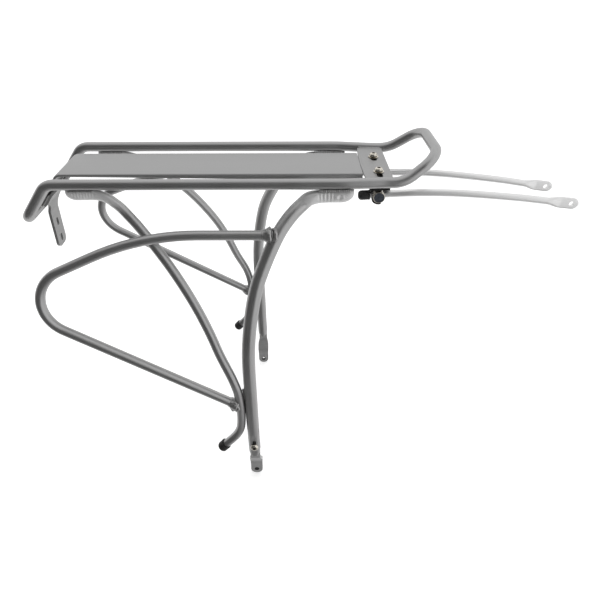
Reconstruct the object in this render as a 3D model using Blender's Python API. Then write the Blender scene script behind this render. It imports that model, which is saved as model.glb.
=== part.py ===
"""Bicycle rear rack: welded tube frame, deck channel, stay clamps, stays and foot tabs.

X points to the front of the bicycle, -Y is the bicycle's right side, Z is up. The origin is midway
between the two foot eyelets, on the line through them. Shapes are written in millimetres, with
heights counted from the plane of the top rail, and at() turns them into metres.
"""

import math

import bmesh
import bpy
from mathutils import Matrix, Vector

MM = 0.001
GAP = 0.3  # what touching pieces keep between their meshes
SIDES = (("right", -1), ("left", 1))
UP = Vector((0, 0, 1))

# Driving dimensions
RAIL_HEIGHT = 337  # top rail's centre above the foot eyelets
RAIL_RADIUS = 5
RAIL_HALF_WIDTH = 51
RAIL_FRONT_HALF_WIDTH = 47
LEG_RADIUS = 6.6
BRACE_RADIUS = 4.6
LOOP_RADIUS = 4.6
STAY_RADIUS = 3.5
EYELET_RADIUS = 2.7
EYELET_HALF_SPAN = 96.2

# Top rail: bent down at the rear, raised into a hoop at the front
REAR_BEND_X = -181.4
REAR_BAR_X, REAR_BAR_Z = -208.5, -36.5
TOE_IN_START_X, TOE_IN_END_X = 90, 128
HOOP_FOOT_X = 145
HOOP_TOP_X, HOOP_TOP_Z = 176.5, 22.5
HOOP_HALF_WIDTH = 38

# Deck channel and front plate
DECK_TOP = 1.1
DECK_THICKNESS = 1.6
DECK_HALF_WIDTH = 28.8
DECK_FLANGE = 5.5
DECK_FRONT_X = 109
PLATE_BOTTOM = -0.5
PLATE_TOP = PLATE_BOTTOM + 1.8
PLATE_REAR_X, PLATE_FRONT_X = 111, 136.3
PLATE_BULGE = 1.6
PLATE_HALF_WIDTH = 41.5
LIP_THICKNESS = 1.8
LIP_BOTTOM = -8.5
SLOT_ENDS = {"right": (19.5, 38.3), "left": (4.4, 19.5)}
SLOT_WIDTH = 5.6

# Reflector bracket
BRACKET_X = -205.4  # its rear face
BRACKET_THICKNESS = 2.6
BRACKET_HALF_WIDTH = 10
BRACKET_WING = 24
BRACKET_BOTTOM = -89

# Stay clamps
CLAMP_X = 124.6
SCREW_Y = {"right": 25, "left": 14.5}
STAY_OFFSET = 7.5  # from the plate screw's axis out to the stay's axis
STAY_AXIS_Z = -18.6
STAY_TILT = {"right": 0, "left": -1.7}
STAY_SET_BACK = {"right": 0, "left": 1.5}
STAY_REAR, STAY_FRONT = -17.5, 195
PAD_HALF_LENGTH = 9.6
PAD_OUT, PAD_IN = 16, 10.2
PAD_BOTTOM = -11
LUG_OUT, LUG_IN = 2.7, 5.6
LUG_RADIUS = 6.4
EYE_RADIUS = 5.7
EYE_HEAD_OUT = 15.5
SHANK_RADIUS = 2.4

# Braces' lower ends
HOOK_LIFT = {"right": 0, "left": 3}

# Pannier loop's plane: half-width = A + B * x + C * z
LOOP_A, LOOP_B, LOOP_C = 67, -0.0748, -0.1671

# Foot tabs
FOOT_Y = 105
FOOT_SCREW_Z = -283.5
FOOT_SLOT_TRAVEL = 7.5
FOOT_SHANK_RADIUS = 1.5
SLIT_TOP_Z = -260
LEG_FLAT_OUT = 5.9  # from the leg's axis to its flat
LEG_END_Z = -299
TAB_HALF_THICKNESS = 2


def clear_scene():
    for obj in list(bpy.data.objects):
        bpy.data.objects.remove(obj, do_unlink=True)


def at(x, y, z):
    """A point in metres from millimetres, with z counted from the rail's plane."""
    return Vector((x * MM, y * MM, (RAIL_HEIGHT + z) * MM))


def material(name, colour, roughness, metallic):
    made = bpy.data.materials.new(name)
    made.use_nodes = True
    shader = made.node_tree.nodes["Principled BSDF"]
    shader.inputs["Base Color"].default_value = (*colour, 1)
    shader.inputs["Roughness"].default_value = roughness
    shader.inputs["Metallic"].default_value = metallic
    return made


def object_from(name, bm):
    bmesh.ops.recalc_face_normals(bm, faces=bm.faces)
    mesh = bpy.data.meshes.new(name)
    bm.to_mesh(mesh)
    bm.free()
    obj = bpy.data.objects.new(name, mesh)
    bpy.context.scene.collection.objects.link(obj)
    return obj


def piece(name, bm, finish):
    """A named, smooth-shaded part of the rack."""
    obj = object_from(name, bm)
    obj.data.shade_smooth()
    obj.data.set_sharp_from_angle(angle=math.radians(35))
    obj.data.materials.append(finish)
    return obj


def boolean(obj, operation, helpers):
    """Cuts or adds each (name, bmesh) of helpers with a Boolean."""
    for name, bm in helpers:
        helper = object_from(name, bm)
        helper.hide_render = True
        helper.display_type = "WIRE"
        modifier = obj.modifiers.new(name, "BOOLEAN")
        modifier.operation = operation
        modifier.solver = "EXACT"
        modifier.object = helper


def move_origin(obj, point):
    """Puts the object's origin on point and leaves its shape where it is."""
    obj.data.transform(Matrix.Translation(-point))
    obj.location = point


def rounded_path(corners, steps_per_turn=40):
    """The centre line of a bent tube. Each corner is (point, bend radius in mm)."""
    points = [corners[0][0]]
    for before, (corner, radius), after in zip(corners, corners[1:], corners[2:]):
        back = (before[0] - corner).normalized()
        ahead = (after[0] - corner).normalized()
        turn = math.pi - back.angle(ahead)
        start = corner + back * radius * MM * math.tan(turn / 2)
        centre = corner + (back + ahead).normalized() * radius * MM / math.cos(turn / 2)
        axis = back.cross(ahead).normalized()
        steps = max(3, round(steps_per_turn * turn / math.tau))
        for step in range(steps + 1):
            swing = Matrix.Rotation(-turn * step / steps, 3, axis)
            points.append(centre + swing @ (start - centre))
    points.append(corners[-1][0])
    return points


def smooth_path(knots, steps=3):
    """A Catmull-Rom curve through the knots, with steps points in each span."""
    padded = [2 * knots[0] - knots[1], *knots, 2 * knots[-1] - knots[-2]]
    points = []
    for a, b, c, d in zip(padded, padded[1:], padded[2:], padded[3:]):
        for step in range(steps):
            t = step / steps
            points.append(
                b
                + (c - a) * 0.5 * t
                + (2 * a - 5 * b + 4 * c - d) * 0.5 * t**2
                + (3 * b - a - 3 * c + d) * 0.5 * t**3
            )
    points.append(knots[-1])
    return points


def circle(radius, sides=12):
    angles = [math.tau * index / sides for index in range(sides)]
    return [(radius * math.cos(angle), radius * math.sin(angle)) for angle in angles]


def eased(share):
    """A smooth step from 0 to 1."""
    share = min(1, max(0, share))
    return share * share * (3 - 2 * share)


def skin(bm, rings, closed=False):
    """Joins rings of points into a closed body, with end faces unless the rings close."""
    loops = [[bm.verts.new(point) for point in ring] for ring in rings]
    pairs = list(zip(loops, loops[1:]))
    if closed:
        pairs.append((loops[-1], loops[0]))
    else:
        bm.faces.new(loops[0])
        bm.faces.new(loops[-1])
    for ring, following in pairs:
        for index in range(len(ring)):
            nearby = (index + 1) % len(ring)
            bm.faces.new((ring[index], ring[nearby], following[nearby], following[index]))
    return bm


def swept_mesh(points, section, closed=False):
    """Sweeps a section along points. section(travelled) gives (sideways, up) offsets in mm."""
    rings = []
    up = UP
    travelled = 0
    for index, point in enumerate(points):
        before = points[index - 1] if index or closed else point
        after = points[(index + 1) % len(points)] if index + 1 < len(points) or closed else point
        if index:
            travelled += (point - before).length / MM
        ahead = (after - before).normalized()
        up = (up - ahead * up.dot(ahead)).normalized()
        sideways = ahead.cross(up)
        rings.append([point + (sideways * u + up * v) * MM for u, v in section(travelled)])
    return skin(bmesh.new(), rings, closed)


def crimped_section(radius, length, height, width, nose=8, blend=14):
    """A round section that starts as a tall, narrow crimp with a rounded nose under the rail."""

    def section(travelled):
        share = eased((travelled - length) / blend)
        half_height = height / 2 * (1 - share) + radius * share
        half_width = width / 2 * (1 - share) + radius * share
        to_nose = max(0, 1 - travelled / nose)
        shrink = 0.3 + 0.7 * math.sqrt(1 - to_nose**2)
        lift = half_height * (1 - shrink)
        return [(u * half_width * shrink, v * half_height * shrink + lift) for u, v in circle(1)]

    return section


def with_nose(points, distances=(1, 2.5, 5, 8)):
    """Adds points near the start of a path, where a crimp is rounded."""
    ahead = (points[1] - points[0]).normalized()
    return [points[0]] + [points[0] + ahead * d * MM for d in distances] + points[1:]


def box_mesh(low, high):
    bm = bmesh.new()
    bmesh.ops.create_cube(bm, size=1)
    bmesh.ops.scale(bm, vec=high - low, verts=bm.verts)
    bmesh.ops.translate(bm, vec=(high + low) / 2, verts=bm.verts)
    return bm


def turned_mesh(profile, base, axis, sides=20):
    """A solid of revolution. profile is (radius, distance along axis) in mm, from base."""
    turn = UP.rotation_difference(axis).to_matrix()
    rings = [
        [base + turn @ Vector((u, v, along)) * MM for u, v in circle(radius, sides)]
        for radius, along in profile
    ]
    return skin(bmesh.new(), rings)


def cylinder_mesh(radius, start, end, sides=20):
    axis = end - start
    return turned_mesh([(radius, 0), (radius, axis.length / MM)], start, axis, sides)


def bolt_hole(centre, axis, radius=SHANK_RADIUS + GAP, reach=12):
    return cylinder_mesh(radius, centre - axis * reach * MM, centre + axis * reach * MM)


def hexagon_mesh(across_flats, start, end):
    return cylinder_mesh(across_flats / math.sqrt(3), start, end, sides=6)


def prism_mesh(outline, low, high, place):
    """An outline of (u, v) pushed from low to high; place(u, v, w) gives the point."""
    return skin(bmesh.new(), [[place(u, v, w) for u, v in outline] for w in (low, high)])


def stadium(half_length, half_width, steps=6):
    """A slot's outline round (0, 0), its straight sides along v."""
    points = []
    for end in (1, -1):
        for step in range(steps + 1):
            angle = math.pi * step / steps
            v = half_length - half_width + half_width * math.sin(angle)
            points.append((half_width * math.cos(angle) * end, v * end))
    return points


def strip_mesh(stations, thickness, place):
    """A bent flat strip. Each station is (u, v, half width); place(u, v, w) gives the point."""
    rings = []
    for index, (u, v, half) in enumerate(stations):
        u_before, v_before, _ = stations[max(index - 1, 0)]
        u_after, v_after, _ = stations[min(index + 1, len(stations) - 1)]
        across = Vector((v_before - v_after, u_after - u_before)).normalized() * thickness / 2
        corners = ((half, across), (-half, across), (-half, -across), (half, -across))
        rings.append([place(u + o.x, v + o.y, w) for w, o in corners])
    return skin(bmesh.new(), rings)


def make_top_rail(finish):
    half = [
        (at(REAR_BAR_X, RAIL_HALF_WIDTH, REAR_BAR_Z), 13),
        (at(REAR_BEND_X, RAIL_HALF_WIDTH, 0), 15),
        (at(TOE_IN_START_X, RAIL_HALF_WIDTH, 0), 120),
        (at(TOE_IN_END_X, RAIL_FRONT_HALF_WIDTH, -0.5), 100),
        (at(HOOP_FOOT_X, RAIL_FRONT_HALF_WIDTH, -0.5), 30),
        (at(HOOP_TOP_X, HOOP_HALF_WIDTH, HOOP_TOP_Z), 23),
    ]
    mirrored = [(Vector((p.x, -p.y, p.z)), radius) for p, radius in reversed(half)]
    middle = (at(REAR_BAR_X, 0, REAR_BAR_Z), 0)
    path = rounded_path([middle, *half, *mirrored, middle])[:-1]
    return piece("top_rail", swept_mesh(path, lambda travelled: circle(RAIL_RADIUS), True), finish)


def flap_direction():
    """The way that the rail's rear bends and the deck's flap run up."""
    return Vector((REAR_BEND_X - REAR_BAR_X, 0, -REAR_BAR_Z)).normalized()


def make_deck_channel(finish):
    slope = flap_direction()
    clearance = RAIL_RADIUS + DECK_THICKNESS + GAP
    flap_end = at(REAR_BAR_X, 0, REAR_BAR_Z) + slope * clearance * MM
    corners = [
        (at(DECK_FRONT_X, 0, DECK_TOP), 0),
        (at(REAR_BEND_X + 1, 0, DECK_TOP), 9),
        (flap_end, 0),
    ]
    path = rounded_path(corners)
    w, t = DECK_HALF_WIDTH, DECK_THICKNESS

    def section(travelled):
        on_flat = travelled < DECK_FRONT_X - REAR_BEND_X - 12
        depth = DECK_FLANGE + t if on_flat else t + 1
        return [
            (w, 0), (w, -depth), (w - t, -depth), (w - t, -t),
            (t - w, -t), (t - w, -depth), (-w, -depth), (-w, 0),
        ]

    return piece("deck_channel", swept_mesh(path, section), finish)


def make_front_plate(finish):
    """A plate between the rails, with a lip in front and behind, and a slot for each clamp."""
    half = PLATE_HALF_WIDTH
    shares = [1 - 2 * step / 8 for step in range(9)]
    rear_edge = [(PLATE_REAR_X - PLATE_BULGE * (1 - share**2), half * share) for share in shares]
    outline = [*rear_edge, (PLATE_FRONT_X, -half), (PLATE_FRONT_X, half)]
    plate = piece("front_plate", prism_mesh(outline, PLATE_BOTTOM, PLATE_TOP, at), finish)
    front_lip_x = PLATE_FRONT_X - LIP_THICKNESS
    lips = [
        (f"lip_{name}", box_mesh(
            at(x, -half, LIP_BOTTOM), at(x + LIP_THICKNESS, half, PLATE_BOTTOM + 0.5)))
        for name, x in (("rear", PLATE_REAR_X), ("front", front_lip_x))
    ]
    boolean(plate, "UNION", lips)
    for side, sign in SIDES:
        inner, outer = SLOT_ENDS[side]
        outline = stadium((outer - inner) / 2, SLOT_WIDTH / 2)
        middle = sign * (inner + outer) / 2
        around = [(CLAMP_X + u, middle + v) for u, v in outline]
        slot = prism_mesh(around, PLATE_BOTTOM - 2, PLATE_TOP + 2, at)
        boolean(plate, "DIFFERENCE", [(f"plate_slot_{side}", slot)])
    return plate


def make_reflector_bracket(finish):
    """A strip that hangs in front of the rear bar, welded to the inside of the deck's flap."""

    def place(u, v, w):
        return at(u, w, v)

    half, corner = BRACKET_HALF_WIDTH, 6
    middle_x = BRACKET_X + BRACKET_THICKNESS / 2
    stations = []
    for degrees in (15, 40, 65, 90):
        angle = math.radians(degrees)
        rise = corner * (1 - math.cos(angle))
        stations.append((middle_x, BRACKET_BOTTOM + rise, half - corner + corner * math.sin(angle)))
    stations += [(middle_x, -49, half), (middle_x + 0.6, -45, half)]
    for degrees in (0, 30, 60, 90):
        angle = math.radians(degrees)
        drop = 8 * (1 - math.sin(angle))
        widening = (BRACKET_WING - half) * (1 - math.cos(angle))
        z = -34 - drop
        stations.append((middle_x + 0.6 + (z + 45) * 0.29, z, half + widening))
    slope = flap_direction()
    x, z, _ = stations[-1]
    for along in (4, 14):
        stations.append((x + slope.x * along + 0.4, z + slope.z * along, BRACKET_WING))
    bracket = piece("reflector_bracket", strip_mesh(stations, BRACKET_THICKNESS, place), finish)
    for name, z, half_length in (("upper", -62, 4.4), ("lower", -80.5, 4.2)):
        outline = [(u, z + v) for u, v in stadium(half_length, 2.2)]
        slot = prism_mesh(outline, BRACKET_X - 5, BRACKET_X + 10, lambda u, v, w: at(w, u, v))
        boolean(bracket, "DIFFERENCE", [(f"bracket_slot_{name}", slot)])
    return bracket


def make_leg(side, sign, finish):
    line = [
        (99.3, 51, -11.65), (64, 51, -12.7), (51.5, 51.8, -20), (38, 60.2, -31.8),
        (26.7, 70.6, -47), (13.8, 82.8, -74), (6.6, 89.9, -96.5), (1, 96.1, -129.8),
        (-1.8, 100, -166), (-1.5, 102.6, -215), (-0.9, 104.8, -260), (-0.2, 105, LEG_END_Z),
    ]
    path = with_nose(smooth_path([at(x, sign * y, z) for x, y, z in line]))
    section = crimped_section(LEG_RADIUS, length=28, height=12.5, width=9.6, nose=12)
    leg = piece(f"leg_{side}", swept_mesh(path, section), finish)
    y = sign * FOOT_Y
    room = TAB_HALF_THICKNESS + 0.4
    slit = box_mesh(at(-10, y - room, LEG_END_Z - 5), at(10, y + room, SLIT_TOP_Z))
    middle = FOOT_SCREW_Z + FOOT_SLOT_TRAVEL / 2
    half_width = FOOT_SHANK_RADIUS + GAP
    outline = stadium(half_width + FOOT_SLOT_TRAVEL / 2, half_width)
    slot = prism_mesh(outline, y, y + sign * 12, lambda u, v, w: at(u, w, middle + v))
    edges = sorted((y + sign * LEG_FLAT_OUT, y + sign * 12))
    flat = box_mesh(at(-10, edges[0], LEG_END_Z - 5), at(10, edges[1], FOOT_SCREW_Z + 15))
    cuts = [(f"leg_slit_{side}", slit), (f"leg_slot_{side}", slot), (f"leg_flat_{side}", flat)]
    boolean(leg, "DIFFERENCE", cuts)
    return leg


def brace_path(side, sign):
    lift = HOOK_LIFT[side]
    line = [
        (-164.3, 51, -10.3), (-134, 51, -10.5), (-118.6, 54.9, -17.5), (-107.1, 60.7, -27),
        (-94.5, 67, -40.5), (-75.7, 76.5, -65), (-61.7, 83.5, -87), (-49.2, 89.9, -110.5),
        (-38.7, 95.1, -135.5), (-29.5, 99.8, -162), (-18.6, 104.9, -189), (-13.6, 105.5, -212),
        (-12.7, 105.6, -247 + lift),
        (-17.9, 105.6, -267.5 + lift), (-36.3, 105.6, -289.5 + lift),
    ]
    return smooth_path([at(x, sign * y, z) for x, y, z in line])


def make_brace(side, sign, finish):
    section = crimped_section(BRACE_RADIUS, length=28, height=10, width=6.6, nose=11)
    return piece(f"brace_{side}", swept_mesh(with_nose(brace_path(side, sign)), section), finish)


def make_cap(name, tip, axis, tube_radius, cover, wall, finish):
    """A cup over a tube's end, with its closed end past the tip."""
    inner = tube_radius + GAP
    outer = inner + wall
    end = 1.6
    profile = [(outer, -cover), (outer, end - 1.2), (outer - 0.7, end - 0.3), (outer - 1.8, end)]
    cap = piece(name, turned_mesh(profile, tip, axis), finish)
    bore = cylinder_mesh(inner, tip - axis * 2 * cover * MM, tip + axis * GAP * MM)
    boolean(cap, "DIFFERENCE", [(f"{name}_bore", bore)])
    return cap


def make_pannier_loop(side, sign, finish):
    def on_plane(x, z):
        return at(x, sign * (LOOP_A + LOOP_B * x + LOOP_C * z), z)

    corners = [
        (on_plane(18, -40.9), 0),
        (on_plane(-94, -36.5), 230),
        (on_plane(-232.5, -93), 34),
        (on_plane(-22.1, -220.3), 0),
    ]
    tube = swept_mesh(rounded_path(corners), lambda travelled: circle(LOOP_RADIUS))
    return piece(f"pannier_loop_{side}", tube, finish)


def make_foot_tab(side, sign, finish):
    """A flat tab: its neck sits in the leg's slit, and it steps inward to the eyelet."""

    def place(u, v, w):
        return at(w, sign * u, v)

    eyelet_z = -RAIL_HEIGHT
    radius = 6.7
    neck = 5.4
    stations = [
        (FOOT_Y, FOOT_SCREW_Z + 14, neck),
        (FOOT_Y, -305.6, neck),
        (FOOT_Y - 0.6, -309, 6),
        (FOOT_Y - 3.6, -313, 7),
        (EYELET_HALF_SPAN + 1.2, -318.5, 7.2),
        (EYELET_HALF_SPAN, -323, 7),
        (EYELET_HALF_SPAN, -328, radius),
        (EYELET_HALF_SPAN, eyelet_z, radius),
    ]
    for degrees in (20, 40, 58, 74):
        angle = math.radians(degrees)
        z = eyelet_z - radius * math.sin(angle)
        stations.append((EYELET_HALF_SPAN, z, radius * math.cos(angle)))
    tab = piece(f"foot_tab_{side}", strip_mesh(stations, 2 * TAB_HALF_THICKNESS, place), finish)
    across = Vector((0, 1, 0))
    eyelet = bolt_hole(at(0, sign * EYELET_HALF_SPAN, eyelet_z), across, EYELET_RADIUS)
    hole = bolt_hole(at(0, sign * FOOT_Y, FOOT_SCREW_Z), across, FOOT_SHANK_RADIUS + GAP)
    boolean(tab, "DIFFERENCE", [(f"eyelet_{side}", eyelet), (f"tab_hole_{side}", hole)])
    move_origin(tab, at(0, sign * FOOT_Y, FOOT_SCREW_Z))
    return tab


def make_foot_screw(side, sign, finish):
    """A button-head screw with a hexagon socket, from outside through the leg into the tab."""
    face = FOOT_Y + LEG_FLAT_OUT + GAP
    base = at(0, sign * face, FOOT_SCREW_Z)
    outward = Vector((0, sign, 0))
    shank = FOOT_SHANK_RADIUS
    profile = [(shank, -7.6), (shank, 0), (4.2, 0), (4.2, 1.2), (3.6, 2.2), (2.4, 2.7)]
    screw = piece(f"foot_screw_{side}", turned_mesh(profile, base, outward), finish)
    socket = hexagon_mesh(3, base + outward * 1.1 * MM, base + outward * 6 * MM)
    boolean(screw, "DIFFERENCE", [(f"foot_socket_{side}", socket)])
    return screw


def make_nut(name, across_flats, height, face, axis, finish):
    """A hexagon nut that stands on face and rises along axis."""
    nut = piece(name, hexagon_mesh(across_flats, face, face + axis * height * MM), finish)
    boolean(nut, "DIFFERENCE", [(f"{name}_bore", bolt_hole(face, axis))])
    return nut


def make_plate_screw(side, sign, finish):
    """A screw standing in the plate's slot; its thread ends inside the clamp block."""
    base = at(CLAMP_X, sign * SCREW_Y[side], PLATE_TOP + 2 * GAP + 0.7)
    shank = SHANK_RADIUS
    profile = [(shank, -11.5), (shank, 0), (4, 0), (4, 1.3), (3.4, 2.4), (2.2, 3)]
    screw = piece(f"plate_screw_{side}", turned_mesh(profile, base, UP), finish)
    socket = hexagon_mesh(3, base + UP * 1.1 * MM, base + UP * 8 * MM)
    boolean(screw, "DIFFERENCE", [(f"plate_socket_{side}", socket)])
    return screw


def make_plate_washer(side, sign, finish):
    base = at(CLAMP_X, sign * SCREW_Y[side], PLATE_TOP + GAP)
    washer = turned_mesh([(5.2, 0), (5.2, 0.4), (4.9, 0.7)], base, UP)
    washer = piece(f"plate_washer_{side}", washer, finish)
    boolean(washer, "DIFFERENCE", [(f"plate_washer_bore_{side}", bolt_hole(base, UP))])
    return washer


def make_clamp_block(side, sign, finish):
    """A pad under the plate, between its lips, with a round lug for the eye bolt."""
    y = SCREW_Y[side]
    top = PLATE_BOTTOM - GAP
    edges = sorted((sign * (y + PAD_OUT), sign * (y - PAD_IN)))
    low = at(CLAMP_X - PAD_HALF_LENGTH, edges[0], PAD_BOTTOM)
    high = at(CLAMP_X + PAD_HALF_LENGTH, edges[1], top)
    block = piece(f"clamp_block_{side}", box_mesh(low, high), finish)
    edges = sorted((sign * (y + LUG_OUT), sign * (y - LUG_IN)))
    neck_low = at(CLAMP_X - LUG_RADIUS, edges[0], STAY_AXIS_Z)
    neck_high = at(CLAMP_X + LUG_RADIUS, edges[1], PAD_BOTTOM + 2)
    lug_start, lug_end = (at(CLAMP_X, edge, STAY_AXIS_Z) for edge in edges)
    lug = cylinder_mesh(LUG_RADIUS, lug_start, lug_end)
    neck = box_mesh(neck_low, neck_high)
    boolean(block, "UNION", [(f"clamp_neck_{side}", neck), (f"clamp_lug_{side}", lug)])
    screw_y = sign * y
    well = cylinder_mesh(SHANK_RADIUS + GAP, at(CLAMP_X, screw_y, -12), at(CLAMP_X, screw_y, 8))
    across = Vector((0, 1, 0))
    bore = bolt_hole(at(CLAMP_X, screw_y, STAY_AXIS_Z), across)
    boolean(block, "DIFFERENCE", [(f"clamp_well_{side}", well), (f"clamp_bore_{side}", bore)])
    move_origin(block, at(CLAMP_X, screw_y, top))
    return block


def stay_frame(side, sign):
    """Where the stay's axis meets the eye bolt's, and how the stay is tilted there."""
    centre = at(CLAMP_X, sign * (SCREW_Y[side] + STAY_OFFSET), STAY_AXIS_Z)
    return centre, Matrix.Rotation(-math.radians(STAY_TILT[side]), 3, "Y")


def make_eye_bolt(side, sign, finish):
    """The bolt whose thick head has a cross hole for the stay."""
    base = at(CLAMP_X, sign * SCREW_Y[side], STAY_AXIS_Z)
    outward = Vector((0, sign, 0))
    foot = LUG_OUT + GAP
    profile = [(SHANK_RADIUS, -9.6), (SHANK_RADIUS, foot), (EYE_RADIUS, foot)]
    profile += [(EYE_RADIUS, EYE_HEAD_OUT - 0.7), (EYE_RADIUS - 0.7, EYE_HEAD_OUT)]
    bolt = piece(f"eye_bolt_{side}", turned_mesh(profile, base, outward), finish)
    centre, tilt = stay_frame(side, sign)
    hole = bolt_hole(centre, tilt @ Vector((1, 0, 0.04)).normalized(), STAY_RADIUS + GAP)
    boolean(bolt, "DIFFERENCE", [(f"eye_hole_{side}", hole)])
    move_origin(bolt, centre)
    return bolt


def stay_point(side, sign, x, z):
    centre, tilt = stay_frame(side, sign)
    return centre + tilt @ (Vector((x - STAY_SET_BACK[side], 0, z)) * MM)


def make_stay(side, sign, finish):
    """A gently bent rod whose front end is pressed into a flat palm with an eye."""
    line = [(STAY_REAR, -0.8), (0, 0), (34, 1.5), (70, 1.2), (105, -1.1), (140, -4.4), (164, -7.4)]
    path = smooth_path([stay_point(side, sign, x, z) for x, z in line])
    slope = -0.112
    for x in (171, 175, 179, 183, 187, 190, 192.5, 194, STAY_FRONT):
        path.append(stay_point(side, sign, x, -7.4 + (x - 164) * slope))
    total = sum((after - before).length for before, after in zip(path, path[1:])) / MM
    palm_height, palm_thickness = 5.6, 1.5

    def section(travelled):
        to_end = total - travelled
        share = eased((30 - to_end) / 12)
        half_height = STAY_RADIUS * (1 - share) + palm_height * share
        half_width = STAY_RADIUS * (1 - share) + palm_thickness * share
        if to_end < palm_height:
            half_height = math.sqrt(max(2, palm_height**2 - (palm_height - to_end) ** 2))
        flatter = [(min(1, max(-1, u * (1 + share))), v) for u, v in circle(1)]
        return [(u * half_width, v * half_height) for u, v in flatter]

    stay = piece(f"stay_{side}", swept_mesh(path, section), finish)
    eye = stay_point(side, sign, 188, -7.4 + 24 * slope)
    boolean(stay, "DIFFERENCE", [(f"stay_eye_{side}", bolt_hole(eye, Vector((0, 1, 0)), 2.5))])
    move_origin(stay, stay_frame(side, sign)[0])
    return stay


def make_stay_cap(side, sign, finish):
    tip = stay_point(side, sign, STAY_REAR, -0.8)
    axis = (tip - stay_point(side, sign, 0, 0)).normalized()
    return make_cap(f"stay_cap_{side}", tip, axis, STAY_RADIUS, 9.5, 0.8, finish)


def make_hook_cap(side, sign, finish):
    path = brace_path(side, sign)
    axis = (path[-1] - path[-2]).normalized()
    return make_cap(f"hook_cap_{side}", path[-1], axis, BRACE_RADIUS, 8, 0.9, finish)


def main():
    clear_scene()
    silver = material("silver_paint", (0.42, 0.42, 0.43), 0.38, 0.85)
    bare = material("bare_aluminium", (0.78, 0.78, 0.77), 0.35, 1)
    nickel = material("nickel_plate", (0.72, 0.69, 0.62), 0.2, 1)
    rubber = material("black_rubber", (0.02, 0.02, 0.02), 0.6, 0)
    dark = material("black_anodised", (0.03, 0.03, 0.035), 0.4, 0.2)
    make_top_rail(silver)
    make_deck_channel(silver)
    make_front_plate(silver)
    make_reflector_bracket(silver)
    for side, sign in SIDES:
        inward = Vector((0, -sign, 0))
        make_leg(side, sign, silver)
        make_brace(side, sign, silver)
        make_pannier_loop(side, sign, silver)
        make_hook_cap(side, sign, rubber)
        make_foot_tab(side, sign, bare)
        make_foot_screw(side, sign, nickel)
        make_plate_screw(side, sign, nickel)
        make_plate_washer(side, sign, nickel)
        make_clamp_block(side, sign, dark)
        make_eye_bolt(side, sign, nickel)
        lug_face = at(CLAMP_X, sign * (SCREW_Y[side] - LUG_IN - GAP), STAY_AXIS_Z)
        make_nut(f"eye_nut_{side}", 8, 3.4, lug_face, inward, nickel)
        make_stay(side, sign, bare)
        make_stay_cap(side, sign, rubber)


main()
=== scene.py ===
"""Looks of the bicycle rear rack: bent and welded tubes, pressed sheets, screws, caps and finishes.

Lengths are in millimetres, with heights counted from the plane of the top rail. at() turns them
into metres in the frame's own axes: X to the front, -Y the bicycle's right side, Z up.
"""

import math
import random

import bmesh
import bpy
from mathutils import Matrix, Vector, kdtree, noise


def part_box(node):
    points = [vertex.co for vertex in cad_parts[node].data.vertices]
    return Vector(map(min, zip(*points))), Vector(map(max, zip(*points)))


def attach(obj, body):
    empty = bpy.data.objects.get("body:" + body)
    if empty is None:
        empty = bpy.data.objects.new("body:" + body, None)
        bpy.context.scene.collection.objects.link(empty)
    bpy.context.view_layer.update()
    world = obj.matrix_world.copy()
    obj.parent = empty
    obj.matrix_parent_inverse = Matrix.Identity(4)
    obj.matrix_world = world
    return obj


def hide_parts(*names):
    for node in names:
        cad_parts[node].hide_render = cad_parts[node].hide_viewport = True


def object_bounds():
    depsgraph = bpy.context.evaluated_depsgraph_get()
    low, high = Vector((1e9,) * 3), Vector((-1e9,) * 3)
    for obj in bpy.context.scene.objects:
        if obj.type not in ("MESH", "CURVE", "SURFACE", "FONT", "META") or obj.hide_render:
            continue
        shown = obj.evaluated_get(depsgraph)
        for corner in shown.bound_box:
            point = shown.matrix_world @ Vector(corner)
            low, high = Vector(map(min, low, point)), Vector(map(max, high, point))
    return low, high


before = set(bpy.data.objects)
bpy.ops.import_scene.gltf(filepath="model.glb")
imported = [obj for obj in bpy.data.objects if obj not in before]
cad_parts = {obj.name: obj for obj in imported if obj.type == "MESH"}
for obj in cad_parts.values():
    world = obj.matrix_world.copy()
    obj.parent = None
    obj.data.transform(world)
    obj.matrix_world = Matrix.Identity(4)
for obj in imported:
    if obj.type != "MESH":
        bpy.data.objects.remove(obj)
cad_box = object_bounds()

MM = 0.001
SIDES = (("right", -1), ("left", 1))
UP = Vector((0, 0, 1))
ACROSS = Vector((0, 1, 0))

# Tubes: the same sizes and centre lines as the CAD solids
DECK_RISE = 1.1  # the deck's top above the rail's plane
RAIL_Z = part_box("deck_channel")[1].z / MM - DECK_RISE
TUBE_SIDES = 40
RAIL_RADIUS = 5
LEG_RADIUS = 6.6
BRACE_RADIUS = 4.6
LOOP_RADIUS = 4.6
STAY_RADIUS = 3.5
RAIL_HALF_WIDTH, RAIL_FRONT_HALF_WIDTH = 51, 47
REAR_BEND_X = -181.4
REAR_BAR_X, REAR_BAR_Z = -208.5, -36.5
CRIMP_Y = RAIL_HALF_WIDTH
CRIMP_TOP_Z = -5.2
FOOT_Y = 105
FOOT_SCREW_Z = -283.5
FOOT_SLOT_TRAVEL = 7.5
FOOT_SHANK_RADIUS = 1.5
LEG_FLAT_OUT = 5.9  # from the leg's axis to the flat under the foot screw
LEG_END_Z = -299
LEG_END_ROUNDING = 5.5
LEG_SLIT_TOP_Z = -260
HOOK_LIFT = {"right": 0, "left": 3}
LOOP_A, LOOP_B, LOOP_C = 67, -0.0748, -0.1671  # loop's half-width is A + B * x + C * z

# Sheets
DECK_THICKNESS = 1.6
PLATE_TOP = 1.3
PLATE_THICKNESS = 1.8
SLOT_ENDS = {"right": (19.5, 38.3), "left": (4.4, 19.5)}
BRACKET_THICKNESS = 2.6
TAB_THICKNESS = 4

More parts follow.
